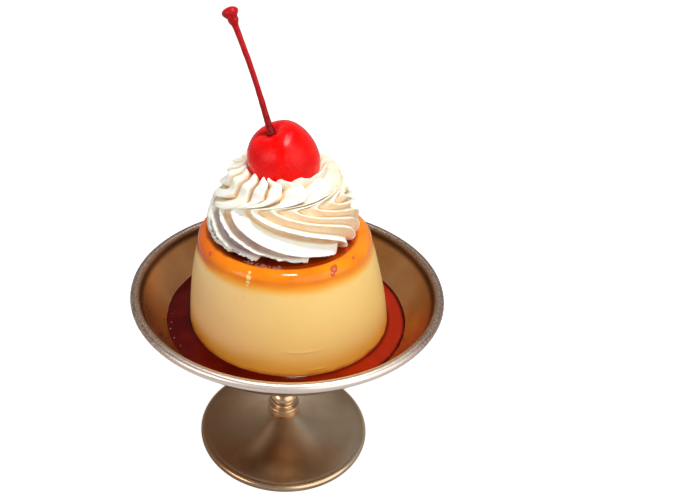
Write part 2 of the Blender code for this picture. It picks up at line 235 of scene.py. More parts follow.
def fade(tree, value, low, high, to_low=0.0, to_high=1.0):
    """Maps a value softly from one range to another."""
    node = put(
        tree,
        "ShaderNodeMapRange",
        {"interpolation_type": "SMOOTHSTEP"},
        Value=value,
        From_Min=low,
        From_Max=high,
        To_Min=to_low,
        To_Max=to_high,
    )
    return node.outputs["Result"]


def blend(tree, share, first, second):
    """Mixes two colours."""
    node = tree.nodes.new("ShaderNodeMix")
    node.data_type = "RGBA"
    for key, value in ((0, share), (6, first), (7, second)):
        if isinstance(value, bpy.types.NodeSocket):
            tree.links.new(value, node.inputs[key])
        else:
            node.inputs[key].default_value = value
    return node.outputs[2]


def place_of(tree):
    return tree.nodes.new("ShaderNodeTexCoord").outputs["Object"]


def stored(tree, name):
    return put(tree, "ShaderNodeAttribute", {"attribute_name": name}).outputs["Fac"]


def new_group(name, inputs, outputs):
    group = bpy.data.node_groups.new(name, "ShaderNodeTree")
    for label, kind, value in inputs:
        socket = group.interface.new_socket(label, in_out="INPUT", socket_type=kind)
        if value is not None:
            socket.default_value = value
    for label, kind in outputs:
        group.interface.new_socket(label, in_out="OUTPUT", socket_type=kind)
    return group, group.nodes.new("NodeGroupInput").outputs, group.nodes.new("NodeGroupOutput").inputs


FLOAT = "NodeSocketFloat"
VECTOR = "NodeSocketVector"


def mottle_group():
    """Soft uneven patches: a mask from 0 to 1 whose patches are Size millimetres wide."""
    group, given, result = new_group(
        "soft mottling",
        [("Vector", VECTOR, None), ("Size", FLOAT, 6.0), ("Detail", FLOAT, 3.0), ("Contrast", FLOAT, 1.0)],
        [("Mask", FLOAT)],
    )
    scale = sums(group, "DIVIDE", 1.0 / MM, given["Size"])
    pattern = put(group, "ShaderNodeTexNoise", Vector=given["Vector"], Scale=scale, Detail=given["Detail"])
    centred = sums(group, "SUBTRACT", pattern.outputs[0], 0.5)
    spread = sums(group, "MULTIPLY", centred, sums(group, "MULTIPLY", given["Contrast"], 2.5))
    group.links.new(sums(group, "ADD", spread, 0.5, clamp=True), result["Mask"])
    return group


def speck_group():
    """Sparse round specks: a mask of dots on a grid of Spacing millimetres, each about Width of a cell."""
    group, given, result = new_group(
        "sparse specks",
        [("Vector", VECTOR, None), ("Spacing", FLOAT, 1.5), ("Width", FLOAT, 0.25), ("Share", FLOAT, 0.5)],
        [("Mask", FLOAT)],
    )
    scale = sums(group, "DIVIDE", 1.0 / MM, given["Spacing"])
    cells = put(group, "ShaderNodeTexVoronoi", Vector=given["Vector"], Scale=scale)
    dot = sums(group, "SUBTRACT", 1.0, sums(group, "DIVIDE", cells.outputs["Distance"], given["Width"]), clamp=True)
    tint = put(group, "ShaderNodeSeparateColor", Color=cells.outputs["Color"])
    kept = sums(group, "LESS_THAN", tint.outputs[0], given["Share"])
    group.links.new(sums(group, "MULTIPLY", dot, kept), result["Mask"])
    return group


def spun_group():
    """Fine rings left by spinning and polishing a turned metal piece, and its distance from the axis."""
    group, given, result = new_group(
        "spun rings",
        [("Vector", VECTOR, None), ("Pitch", FLOAT, 0.35)],
        [("Height", FLOAT), ("Radius", FLOAT)],
    )
    axes = put(group, "ShaderNodeSeparateXYZ", Vector=given["Vector"]).outputs
    squares = [sums(group, "POWER", axis, 2.0) for axis in axes[:2]]
    radius = sums(group, "SQRT", sums(group, "ADD", *squares))
    turn = sums(group, "ARCTAN2", axes[1], axes[0])
    turned = put(group, "ShaderNodeCombineXYZ", X=radius, Y=sums(group, "MULTIPLY", turn, 0.0016), Z=axes[2])
    scale = sums(group, "DIVIDE", 1.0 / MM, given["Pitch"])
    rings = put(group, "ShaderNodeTexNoise", Vector=turned.outputs[0], Scale=scale, Detail=2.0)
    group.links.new(rings.outputs[0], result["Height"])
    group.links.new(radius, result["Radius"])
    return group


def scratch_group():
    """A few long wandering hairline scratches."""
    group, given, result = new_group(
        "hairline scratches",
        [("Vector", VECTOR, None), ("Scale", FLOAT, 40.0), ("Width", FLOAT, 0.004)],
        [("Mask", FLOAT)],
    )
    vector, scale = given["Vector"], given["Scale"]
    pattern = put(group, "ShaderNodeTexNoise", Vector=vector, Scale=scale, Detail=2.0, Distortion=2.0)
    distance = sums(group, "ABSOLUTE", sums(group, "SUBTRACT", pattern.outputs[0], 0.5))
    near = sums(group, "SUBTRACT", 1.0, sums(group, "DIVIDE", distance, given["Width"]), clamp=True)
    group.links.new(near, result["Mask"])
    return group


MOTTLE = mottle_group()
SPECKS = speck_group()
SPUN = spun_group()
SCRATCHES = scratch_group()


def use(tree, group, **inputs):
    return put(tree, "ShaderNodeGroup", {"node_tree": group}, Vector=place_of(tree), **inputs).outputs


def new_finish(name):
    material = bpy.data.materials.new(name)
    material.use_nodes = True
    tree = material.node_tree
    return material, tree, tree.nodes["Principled BSDF"]


def set_shader(tree, shader, **inputs):
    for key, value in inputs.items():
        socket = shader.inputs[key.replace("_", " ")]
        if isinstance(value, bpy.types.NodeSocket):
            tree.links.new(value, socket)
        else:
            socket.default_value = value


def bump(tree, height, distance, strength=1.0, normal=None):
    node = put(tree, "ShaderNodeBump", Height=height, Distance=distance, Strength=strength, Normal=normal)
    return node.outputs[0]


RIM_STARTS = (0.0533, 0.0543)  # metres from the dish's axis over which each look comes in
# Metres from the axis over which a painted dark line of shade comes in, where the bead meets the bowl.
CREASE_SHADE_STARTS = (0.0520, 0.0531)
# Painted highlight: the rim's front is painted paler over these metres along Y.
RIM_FRONT_HIGHLIGHT = (-0.030, -0.052)  # metres along Y over which the rim's front grows paler


def worn_steel(name, dark, pale, left_shade, grain, roughness, inside=None, rim=None):
    """Old stainless steel: warm, satin, spun, with tarnish patches, fine scratches, painted shade on its left side,
    painted highlight streaks where a mesh marks them, a painted warm reflection on a bowl's inside and, on a bowl, a
    frosted rim with a painted dark crease line below it and a painted highlight on its front.
    """
    material, tree, shader = new_finish(name)
    spun = use(tree, SPUN, Pitch=0.4)
    patches = use(tree, MOTTLE, Size=18.0, Detail=3.0, Contrast=1.0)["Mask"]
    frost = use(tree, MOTTLE, Size=0.5, Detail=2.0, Contrast=1.8)["Mask"]
    scratches = use(tree, SCRATCHES, Scale=45.0, Width=0.003)["Mask"]
    across = put(tree, "ShaderNodeSeparateXYZ", Vector=place_of(tree)).outputs[0]
    base = blend(tree, patches, dark, pale)
    # Painted shade: the steel turns darker and browner towards its left side (-X).
    base = blend(tree, fade(tree, across, 0.004, -0.03, 0.0, 0.8), base, left_shade)
    # Painted highlight: paler streaks standing in for bright reflections on the foot.
    painted_streaks = sums(tree, "MULTIPLY", stored(tree, "painted_streaks"), 0.85)
    base = blend(tree, painted_streaks, base, rgb(255, 240, 214))
    # Painted reflection: the bowl's inside is warmer, standing in for the custard and sauce that it reflects.
    if inside:
        reflected_warmth = blend(tree, patches, *inside)
        base = blend(tree, stored(tree, "inside"), base, reflected_warmth)
    base = blend(tree, sums(tree, "MULTIPLY", scratches, 0.3), base, rgb(232, 214, 196))
    rough = sums(tree, "ADD", roughness, sums(tree, "MULTIPLY", patches, 0.06))
    relief = sums(tree, "ADD", sums(tree, "MULTIPLY", spun["Height"], 0.6), sums(tree, "MULTIPLY", frost, grain))
    if rim:
        on_rim = fade(tree, spun["Radius"], *RIM_STARTS)
        below_rim = sums(tree, "SUBTRACT", 1.0, on_rim)
        # Painted shade: a dark line in the crease just inside the rim's bead.
        crease = sums(tree, "MULTIPLY", fade(tree, spun["Radius"], *CREASE_SHADE_STARTS), below_rim)
        base = blend(tree, crease, base, rgb(96, 62, 40))
        speckled = blend(tree, fade(tree, frost, 0.2, 0.8), rim[0], rim[1])
        # Painted highlight: the rim grows paler towards its front.
        forward = put(tree, "ShaderNodeSeparateXYZ", Vector=place_of(tree)).outputs[1]
        speckled = blend(tree, fade(tree, forward, *RIM_FRONT_HIGHLIGHT), speckled, rim[2])
        base = blend(tree, on_rim, base, speckled)
        rough = sums(tree, "ADD", rough, sums(tree, "MULTIPLY", on_rim, 0.10))
        relief = sums(tree, "ADD", relief, sums(tree, "MULTIPLY", on_rim, sums(tree, "MULTIPLY", frost, 0.25)))
    tangent = put(tree, "ShaderNodeTangent", {"direction_type": "RADIAL", "axis": "Z"}).outputs[0]
    set_shader(
        tree,
        shader,
        Base_Color=base,
        Metallic=1.0,
        Roughness=rough,
        Anisotropic=0.5,
        Tangent=tangent,
        Coat_Weight=0.2,
        Coat_Roughness=0.22,
        Normal=bump(tree, relief, 0.00004, 0.5),
    )
    return material


def set_custard():
    """Baked custard: moist and pale, golden low down, and soaked with caramel round its top edge; painted shade makes
    it pinker on its left side and darkens its soaked band there.
    """
    material, tree, shader = new_finish("set custard")
    axes = put(tree, "ShaderNodeSeparateXYZ", Vector=place_of(tree)).outputs
    mottle = use(tree, MOTTLE, Size=9.0, Detail=2.0, Contrast=0.9)["Mask"]
    cloud = use(tree, MOTTLE, Size=24.0, Detail=1.0, Contrast=1.2)["Mask"]
    pits = use(tree, SPECKS, Spacing=9.0, Width=0.045, Share=0.3)["Mask"]
    wander = sums(tree, "MULTIPLY", sums(tree, "SUBTRACT", mottle, 0.5), 0.0012)
    height = sums(tree, "ADD", axes[2], wander)
    # Painted shade tint: the custard turns pinker and less golden towards its left side, where it lies in shade.
    pale = blend(tree, fade(tree, axes[0], -0.036, 0.002), rgb(250, 208, 150), rgb(246, 204, 122))
    pale = blend(tree, sums(tree, "MULTIPLY", cloud, 0.3), pale, rgb(250, 214, 140))
    golden = blend(tree, fade(tree, height, 0.0625, 0.0705), rgb(246, 188, 76), pale)
    stained = blend(tree, fade(tree, height, 0.0607, 0.0630), rgb(186, 62, 6), golden)
    soaked = stored(tree, "caramel")
    wet = sums(tree, "ADD", soaked, sums(tree, "MULTIPLY", sums(tree, "SUBTRACT", mottle, 0.5), 0.12))
    amber = blend(tree, fade(tree, wet, 0.0, 0.6), stained, rgb(248, 176, 62))
    orange = blend(tree, mottle, rgb(238, 124, 14), rgb(250, 148, 22))
    orange = blend(tree, fade(tree, wet, 0.4, 1.0), amber, orange)
    # Painted shade: the soaked band is darker orange on its left side.
    left_band_shade = sums(tree, "MULTIPLY", fade(tree, axes[0], -0.020, -0.031), fade(tree, wet, 0.3, 0.9))
    deep = blend(tree, left_band_shade, orange, rgb(218, 96, 8))
    colour = blend(tree, sums(tree, "MULTIPLY", pits, 0.5), deep, rgb(206, 140, 60))
    rough = sums(tree, "SUBTRACT", fade(tree, mottle, 0.0, 1.0, 0.28, 0.36), sums(tree, "MULTIPLY", soaked, 0.2))
    fine = use(tree, MOTTLE, Size=1.4, Detail=2.0, Contrast=0.6)["Mask"]
    set_shader(
        tree,
        shader,
        Base_Color=colour,
        Roughness=rough,
        Specular_IOR_Level=0.28,
        Subsurface_Weight=0.15,
        Subsurface_Radius=(1.0, 0.6, 0.25),
        Subsurface_Scale=0.003,
        Normal=bump(tree, fine, 0.00002, 0.6),
    )
    return material


def burnt_caramel(name, deep, thin):
    """Thin dark sauce: nearly black where it is deep, red where it is thin, and painted red as light shining through it
    where its mark picks out the lit side.
    """
    material, tree, shader = new_finish(name)
    mottle = use(tree, MOTTLE, Size=12.0, Detail=2.0, Contrast=0.9)["Mask"]
    fine = use(tree, MOTTLE, Size=1.2, Detail=3.0, Contrast=0.8)["Mask"]
    bubbles = use(tree, SPECKS, Spacing=2.6, Width=0.09, Share=0.22)["Mask"]
    thin_and_lit = stored(tree, "thin_and_lit")
    share = sums(tree, "ADD", thin_and_lit, sums(tree, "MULTIPLY", sums(tree, "SUBTRACT", mottle, 0.5), 0.2), clamp=True)
    colour = blend(tree, share, deep, thin)
    colour = blend(tree, sums(tree, "MULTIPLY", bubbles, 0.5), colour, thin)
    relief = sums(tree, "ADD", mottle, sums(tree, "ADD", sums(tree, "MULTIPLY", fine, 0.2), bubbles))
    set_shader(
        tree,
        shader,
        Base_Color=colour,
        Roughness=fade(tree, fine, 0.0, 1.0, 0.06, 0.14),
        Specular_IOR_Level=0.14,
        Normal=bump(tree, relief, 0.00008, 0.5),
    )
    return material


def whipped_cream():
    """Piped cream: warm white, with painted shade in peach, tan and lavender on its undersides and in its grooves, and
    stained by cherry juice on top.
    """
    material, tree, shader = new_finish("whipped cream")
    fine = use(tree, MOTTLE, Size=0.7, Detail=4.0, Contrast=1.0)["Mask"]
    soft = use(tree, MOTTLE, Size=5.0, Detail=3.0, Contrast=1.2)["Mask"]
    shade_hue = stored(tree, "shade_hue")
    white = blend(tree, soft, rgb(253, 249, 226), rgb(255, 253, 244))
    # Painted shade for the undersides: peach, then tan, then lavender as the shade hue grows.
    shade = blend(tree, fade(tree, shade_hue, 0.0, 0.5), rgb(244, 208, 164), rgb(206, 160, 112))
    shade = blend(tree, fade(tree, shade_hue, 0.5, 1.0), shade, rgb(142, 110, 126))
    uneven = fade(tree, soft, 0.0, 1.0, 0.75, 1.0)
    colour = blend(tree, sums(tree, "MULTIPLY", stored(tree, "under"), uneven), white, shade)
    # Painted shade in the grooves, golden turning mauve where the shade hue is high.
    golden = blend(tree, fade(tree, shade_hue, 0.2, 0.8), rgb(232, 182, 92), rgb(170, 138, 128))
    colour = blend(tree, sums(tree, "MULTIPLY", fade(tree, stored(tree, "fold_shade"), 0.35, 1.0), 0.75), colour, golden)
    stain = sums(tree, "MULTIPLY", stored(tree, "juice"), fade(tree, fine, 0.3, 0.7, 0.5, 1.0))
    colour = blend(tree, stain, colour, rgb(214, 60, 40))
    set_shader(
        tree,
        shader,
        Base_Color=colour,
        Roughness=fade(tree, fine, 0.0, 1.0, 0.45, 0.6),
        Specular_IOR_Level=0.35,
        Subsurface_Weight=0.12,
        Subsurface_Radius=(1.0, 0.8, 0.55),
        Subsurface_Scale=0.0015,
        Normal=bump(tree, fine, 0.00012, 0.6),
    )
    return material


def glace_cherry():
    """A syrup-soaked cherry: clear red, with a finely wrinkled wet skin."""
    material, tree, shader = new_finish("glace cherry")
    soft = use(tree, MOTTLE, Size=7.0, Detail=3.0, Contrast=1.0)["Mask"]
    dimples = put(tree, "ShaderNodeTexVoronoi", Vector=place_of(tree), Scale=1250.0).outputs["Distance"]
    colour = blend(tree, soft, rgb(226, 1, 2), rgb(246, 8, 3))
    colour = blend(tree, stored(tree, "dimple"), colour, rgb(196, 2, 8))
    relief = sums(tree, "SUBTRACT", 1.0, sums(tree, "MULTIPLY", sums(tree, "POWER", dimples, 2.0), 4.0))
    set_shader(
        tree,
        shader,
        Base_Color=colour,
        Roughness=fade(tree, soft, 0.0, 1.0, 0.04, 0.07),
        Specular_IOR_Level=0.22,
        Subsurface_Weight=0.08,
        Subsurface_Radius=(1.0, 0.05, 0.02),
        Subsurface_Scale=0.0015,
        Normal=bump(tree, relief, 0.000035, 1.0),
    )
    return material


def cherry_stalk_skin():
    """The stalk: dyed deep red, slightly fibrous, with beads of syrup."""
    material, tree, shader = new_finish("dyed stalk")
    fibre = use(tree, MOTTLE, Size=1.6, Detail=5.0, Contrast=1.3)["Mask"]
    beads = use(tree, SPECKS, Spacing=0.7, Width=0.45, Share=0.5)["Mask"]
    height = put(tree, "ShaderNodeSeparateXYZ", Vector=place_of(tree)).outputs[2]
    red = blend(tree, fade(tree, height, 0.132, 0.152), rgb(96, 1, 6), rgb(180, 4, 12))
    colour = blend(tree, sums(tree, "MULTIPLY", fibre, 0.5), red, rgb(204, 18, 22))
    relief = sums(tree, "ADD", sums(tree, "MULTIPLY", fibre, 0.6), beads)
    set_shader(
        tree,
        shader,
        Base_Color=colour,
        Roughness=fade(tree, fibre, 0.0, 1.0, 0.2, 0.4),
        Specular_IOR_Level=0.25,
        Normal=bump(tree, relief, 0.00008, 0.9),
    )
    return material


def syrup(name, colour_deep, colour_thin):
    """Clear syrup in drops, tinted by what lies below it."""
    material, tree, shader = new_finish(name)
    fine = use(tree, MOTTLE, Size=0.8, Detail=2.0, Contrast=1.0)["Mask"]
    set_shader(
        tree,
        shader,
        Base_Color=blend(tree, fine, colour_deep, colour_thin),
        Roughness=fade(tree, fine, 0.0, 1.0, 0.04, 0.10),
        Coat_Weight=0.8,
        Coat_Roughness=0.03,
        Normal=bump(tree, fine, 0.00003, 0.4),
    )
    return material


# Dish


def bowl_wall(offset, start, end, count):
    centre = (BOWL_FLOOR_RADIUS, BOWL_FLOOR_HEIGHT + BOWL_WALL_ARC)
    return arc(centre, BOWL_WALL_ARC + offset, start - 90, end - 90, count)


def climb_to(height, offset):
    return math.degrees(math.acos((BOWL_FLOOR_HEIGHT + BOWL_WALL_ARC - height) / (BOWL_WALL_ARC + offset)))


def bowl_radius(height, offset=0.0):
    """The bowl's inner radius at a height above the table."""
    drop = BOWL_FLOOR_HEIGHT + BOWL_WALL_ARC - height
    return BOWL_FLOOR_RADIUS + np.sqrt((BOWL_WALL_ARC + offset) ** 2 - drop**2)


def dish_bowl(finish):
    bead = (RIM_RADIUS - RIM_BEAD, RIM_HEIGHT - RIM_BEAD)
    under_bead = climb_to(bead[1] - RIM_BEAD * 0.8, SHEET)
    outline = np.vstack(
        [
            bowl_wall(SHEET, 0.0, under_bead, 40),
            arc(bead, RIM_BEAD, -118, BOWL_WALL_ANGLE + 74, 26),
            bowl_wall(0.0, BOWL_WALL_ANGLE, 0.0, 70),
        ]
    )
    rings = spin(outline, DISH_STEPS)
    wobble = ripple(rings, 26.0, 3.0) * 0.12
    away = rings[..., :2] / np.linalg.norm(rings[..., :2], axis=-1, keepdims=True)
    rings[..., :2] += away * (wobble * smooth(56, 66, rings[..., 2]))[..., None]
    bowl = skin("dish_bowl_spun", rings, (0, 0, BOWL_FLOOR_HEIGHT - SHEET), (0, 0, BOWL_FLOOR_HEIGHT))
    # Marks the inside wall, which its finish paints with a warm reflection of the custard and sauce.
    mark(bowl, "inside", np.repeat(np.arange(len(outline)) > 58, DISH_STEPS).astype(float))
    return finished(bowl, finish, "dish_metal", "dish_bowl")


def trumpet(drop, count):
    low = FOOT_BEAD_HEIGHT + FOOT_BEAD - 0.1
    outer = FOOT_RADIUS - 2.05 * FOOT_BEAD
    t = np.linspace(0, 1, count + 1)
    radius = FOOT_TOP_RADIUS + (outer - FOOT_TOP_RADIUS) * t
    return np.stack([radius, low + (FOOT_TOP_HEIGHT - low) * (1 - t) ** FOOT_FLARE - drop], axis=1)


# Streaks of painted highlight on the foot, where its cone would reflect the bright underside of the bowl.
PAINTED_HIGHLIGHT_STREAKS = (  # degrees round from +X, half width in degrees, from and to which radius, strength
    (-50, 14, 6, 21, 1.0), (-122, 9, 8, 24, 0.8), (-104, 9, 23, 33, 0.8), (-30, 24, 29, 34, 0.9),
)  # fmt: skip


def dish_foot(finish):
    bead = (FOOT_RADIUS - FOOT_BEAD, FOOT_BEAD_HEIGHT)
    cut = math.degrees(math.asin(FOOT_BEAD_HEIGHT / FOOT_BEAD))
    inner = FOOT_RADIUS - FOOT_BEAD - FOOT_BEAD * math.cos(math.radians(cut))
    outline = np.vstack(
        [
            trumpet(SHEET, 30),
            [(FOOT_RADIUS - 2 * FOOT_BEAD, FOOT_BEAD_HEIGHT * 0.8), (inner, 0.0)],
            arc(bead, FOOT_BEAD, -cut, 112, 22),
            trumpet(0.0, 60)[::-1],
        ]
    )
    rings = spin(outline, DISH_STEPS)
    foot = skin("dish_foot_pressed", rings, (0, 0, FOOT_TOP_HEIGHT - SHEET), (0, 0, FOOT_TOP_HEIGHT))
    radius = np.linalg.norm(rings[..., :2], axis=-1)
    turn = np.degrees(np.arctan2(rings[..., 1], rings[..., 0]))
    # Strength of the painted highlight streaks at each point, for the finish to make paler.
    painted_streaks = np.zeros_like(radius)
    for place, width, near, far, share in PAINTED_HIGHLIGHT_STREAKS:
        along = smooth(near - 2, near + 3, radius) * smooth(far + 3, far - 6, radius)
        painted_streaks += share * np.exp(-(((turn - place) / width) ** 2)) * along
    mark(foot, "painted_streaks", np.clip(painted_streaks, 0, 1))
    return finished(foot, finish, "dish_metal", "dish_foot")


def dish_stem(finish):
    top, bottom = BOWL_FLOOR_HEIGHT - SHEET - 0.1, FOOT_TOP_HEIGHT + 0.3
    flange, edge = 1.2, 0.5
    knop_angles = np.radians(np.linspace(-42, 52, 18))
    knop = np.stack([KNOP_RADIUS * np.cos(knop_angles), KNOP_HEIGHT + KNOP_RADIUS * 0.75 * np.sin(knop_angles)], axis=1)
    t = np.linspace(0.15, 1.0, 26)
    widening = (FLANGE_RADIUS - 0.4 - COLUMN_RADIUS) * t**3
    flare = np.stack([COLUMN_RADIUS + widening, top - flange - 22.0 * (1 - t)], axis=1)
    outline = np.vstack(
        [
            [(COLLAR_RADIUS - edge, bottom)],
            arc((COLLAR_RADIUS - edge, bottom + edge), edge, -80, 0, 5),
            arc((COLLAR_RADIUS - edge, COLLAR_HEIGHT - edge), edge, 0, 90, 6),
            [(KNOP_RADIUS * 0.86, COLLAR_HEIGHT + 0.05)],
            knop,
            flare,
            arc((FLANGE_RADIUS - 0.35, top - 0.5), 0.35, -60, 60, 6),
            [(FLANGE_RADIUS - 0.6, top)],
        ]
    )
    return finished(
        skin("dish_stem_turned", spin(outline, 96), (0, 0, bottom), (0, 0, top)), finish, "dish_metal", "dish_stem"
    )


# Pudding


def side_radius(height):
    t = (height - BASE_ROUNDING) / (PUDDING_HEIGHT - TOP_ROUNDING - BASE_ROUNDING)
    return BASE_RADIUS + (TOP_RADIUS - BASE_RADIUS) * t + SIDE_BULGE * np.sin(math.pi * np.clip(t, 0, 1))


def sagged(rings):
    """Moves rings from the pudding's own place to the dish's, leaning as it sags."""
    moved = rings + np.array(PUDDING_PLACE)
    moved[..., 0] += PUDDING_SHEAR * rings[..., 2]
    return moved


def pudding_body(finish):
    """The custard and its caramel-soaked top as one body."""
    corner = (BASE_RADIUS - BASE_ROUNDING, BASE_ROUNDING)
    heights = np.linspace(BASE_ROUNDING + 0.6, PUDDING_HEIGHT - TOP_ROUNDING - 0.4, 90)
    top_corner = (TOP_RADIUS - TOP_ROUNDING, PUDDING_HEIGHT - TOP_ROUNDING)
    t = np.linspace(1, 0, 16)
    climb = HOLLOW_DEPTH * (0.5 - 0.5 * np.cos(math.pi * t))
    slope = np.stack([HOLLOW_RADIUS + HOLLOW_RIM * t, PUDDING_HEIGHT - HOLLOW_DEPTH + climb], axis=1)
    base = [(12.0, -SAG), (24.0, -SAG * 0.84), (30.0, -SAG * 0.33)]
    outline = np.vstack(
        [
            base,
            arc(corner, BASE_ROUNDING, -80, -4, 12),
            np.stack([side_radius(heights), heights], axis=1),
            arc(top_corner, TOP_ROUNDING, 6, 88, 18),
            slope,
            [(14.0, PUDDING_HEIGHT - HOLLOW_DEPTH)],
        ]
    )
    rings = spin(outline, FOOD_STEPS)
    radius = np.linalg.norm(rings[..., :2], axis=-1)
    away = rings[..., :2] / radius[..., None]
    height = rings[..., 2]
    turn = np.degrees(np.arctan2(rings[..., 1], rings[..., 0]))
    uneven = ripple(rings, 15.0, 1.0) * 0.2 + ripple(rings, 5.0, 2.0) * 0.02
    crease = np.zeros_like(height)
    for place, middle, reach, width in ((-84.0, 14.6, 9.0, 0.35), (-77.0, 7.4, 6.0, 0.3)):
        along = (turn - place) / reach
        crease += 0.16 * np.exp(-(along**2)) * np.exp(-(((height - middle - 0.25 * along**2) / width) ** 2))
    uneven += ripple(rings * (1, 1, 2.5), 3.4, 6.0) * 0.07 * smooth(PUDDING_HEIGHT - 5, PUDDING_HEIGHT - 2, height)
    on_side = smooth(BASE_ROUNDING, BASE_ROUNDING + 4, height)
    rings[..., :2] += away * ((uneven * on_side + crease)[..., None] - 0.15)
    edge = ripple(rings, 9.0, 5.0) * 0.6
    soaked = smooth(PUDDING_HEIGHT - 8.5, PUDDING_HEIGHT - 2.6, height + edge)
    placed = sagged(rings)
    middle_of_top = sagged(np.array([0, 0, PUDDING_HEIGHT - HOLLOW_DEPTH]))
    body = skin("pudding_body", placed, sagged(np.array([0, 0, -SAG])), middle_of_top)
    mark(body, "caramel", soaked)
    return finished(body, finish, "custard", "custard", "caramel_layer")


def caramel_puddle(finish):
    """Sauce in the hollow, with an uneven edge that thins out over the slope."""
    steps = 220
    share = np.concatenate([np.linspace(0.25, 0.8, 8), np.linspace(0.82, 1.0, 16)])
    angles = np.linspace(0, math.tau, steps, endpoint=False)
    around = np.stack([np.cos(angles), np.sin(angles), np.zeros(steps)], axis=-1)
    reach = 25.6 + ripple(around * 26, 7.0, 7.0) * 0.7 + ripple(around * 26, 2.4, 8.0) * 0.25
    radius = share[:, None] * reach[None, :]
    level = PUDDING_HEIGHT - PUDDLE_LEVEL
    film = level - 0.55 * smooth(0.955, 1.0, share)[:, None] + 0.12 * smooth(0.88, 0.95, share)[:, None]
    top = np.stack([radius * around[:, 0], radius * around[:, 1], np.broadcast_to(film, radius.shape)], axis=-1)
    top[..., 2] += ripple(top, 3.0, 4.0) * 0.05
    under = top[::-1] * np.array([0.98, 0.98, 1.0]) - np.array([0, 0, 0.5])
    placed = sagged(np.concatenate([under[-1:], top[::-1]]))
    puddle = skin("caramel_puddle_film", placed, sagged(np.array([0, 0, level - 0.6])), sagged(np.array([0, 0, level])))
    thin = np.broadcast_to(smooth(0.93, 1.0, share)[:, None], radius.shape)
    # Painted light: the sauce on top is redder on its lit right side, as if light shone through it there.
    right = smooth(-0.1, 0.9, np.cos(angles + 0.7))
    thin = np.clip(thin * 0.6 + right * 0.75, 0, 1)
    mark(puddle, "thin_and_lit", np.concatenate([thin[-1:], thin[::-1]]))
    return finished(puddle, finish, "caramel_sauce", "caramel_puddle")


def caramel_pool(finish):
    """Sauce in the bowl. It climbs a little where it meets the pudding and the metal."""
    steps = 256
    angles = np.linspace(0, math.tau, steps, endpoint=False)
    around = np.stack([np.cos(angles), np.sin(angles)], axis=-1)
    inner_height = SAUCE_LEVEL - PUDDING_PLACE[2]
    inner = side_radius(inner_height) - 0.9
    centre = np.array([PUDDING_PLACE[0] + PUDDING_SHEAR * inner_height, 0.0])
    inner_edge = centre + around * inner
    edge_noise = ripple(np.concatenate([around * 44, np.zeros((steps, 1))], axis=1), 8.0, 2.0)
    outer_reach = bowl_radius(SAUCE_LEVEL) + 0.25 + edge_noise * 0.25
    outer_edge = around * outer_reach[:, None]
    share = np.concatenate([np.linspace(0, 0.3, 20), np.linspace(0.34, 0.84, 12), np.linspace(0.88, 1.0, 10)])
    flat = inner_edge[None] * (1 - share[:, None, None]) + outer_edge[None] * share[:, None, None]
    climb = 0.9 * np.exp(-share / 0.1) + 0.30 * np.exp(-(1 - share) / 0.03)
    height = SAUCE_LEVEL + climb[:, None] + ripple(np.dstack([flat, np.zeros(flat.shape[:2])]), 12.0, 6.0) * 0.05
    top = np.dstack([flat, height])
    depth = 3.0
    wall = bowl_radius(SAUCE_LEVEL - depth, -0.35)
    floor_outer = np.dstack([(around * wall)[None], np.full((1, steps), SAUCE_LEVEL - depth)])
    floor_inner = np.dstack([(centre + around * (inner - 1.2))[None], np.full((1, steps), SAUCE_LEVEL - depth)])
    rings = np.concatenate([floor_inner, floor_outer, top[::-1]])
    pool = skin("caramel_pool_sauce", rings, loop=True)
    # Painted light: a red band, as if lit through the sauce, on the right side that fades to dark on the left.
    right = smooth(-0.45, 0.85, np.cos(angles - 0.1))
    band = smooth(0.05, 0.3, share) * (1 - smooth(0.78, 0.95, share))
    thin = band[:, None] * (0.05 + 0.95 * right[None]) + 0.4 * np.exp(-share / 0.05)[:, None]
    dark = np.zeros((2, steps))
    mark(pool, "thin_and_lit", np.clip(np.concatenate([dark, thin[::-1]]), 0, 1))
    return finished(pool, finish, "caramel_sauce", "caramel_pool")


# Cream


def of_flute(values, flute):
    """A smooth value between those given for each flute."""
    listed = np.array(values, float)
    index = np.floor(flute).astype(int)
    t = smooth(0.0, 1.0, flute - index)
    return listed[index % FLUTES] * (1 - t) + listed[(index + 1) % FLUTES] * t


def flute_turn(share, flute):
    """How far round a flute is, in degrees, at a share of the way up: along the side, back, and its tip."""
    tail = FIRST_TAIL - 360 / FLUTES * flute + of_flute(TAIL_SHIFT, flute)
    hook = FIRST_HOOK - 360 / FLUTES * flute + of_flute(HOOK_SHIFT, flute)
    hook_share = of_flute(HOOK_SHARE, flute)
    climbed = np.clip((share - TAIL_SHARE) / (hook_share - TAIL_SHARE), 0, 1) ** of_flute(TURN_DELAY, flute)
    back = of_flute(PETAL_TURN, flute) * smooth(hook_share - 0.01, hook_share + of_flute(PETAL_SPAN, flute), share)
    curl = of_flute(TIP_TURN, flute) * smooth(0.90, 1.0, share)
    return tail + (hook - tail) * smooth(0, 1, climbed) + back - curl


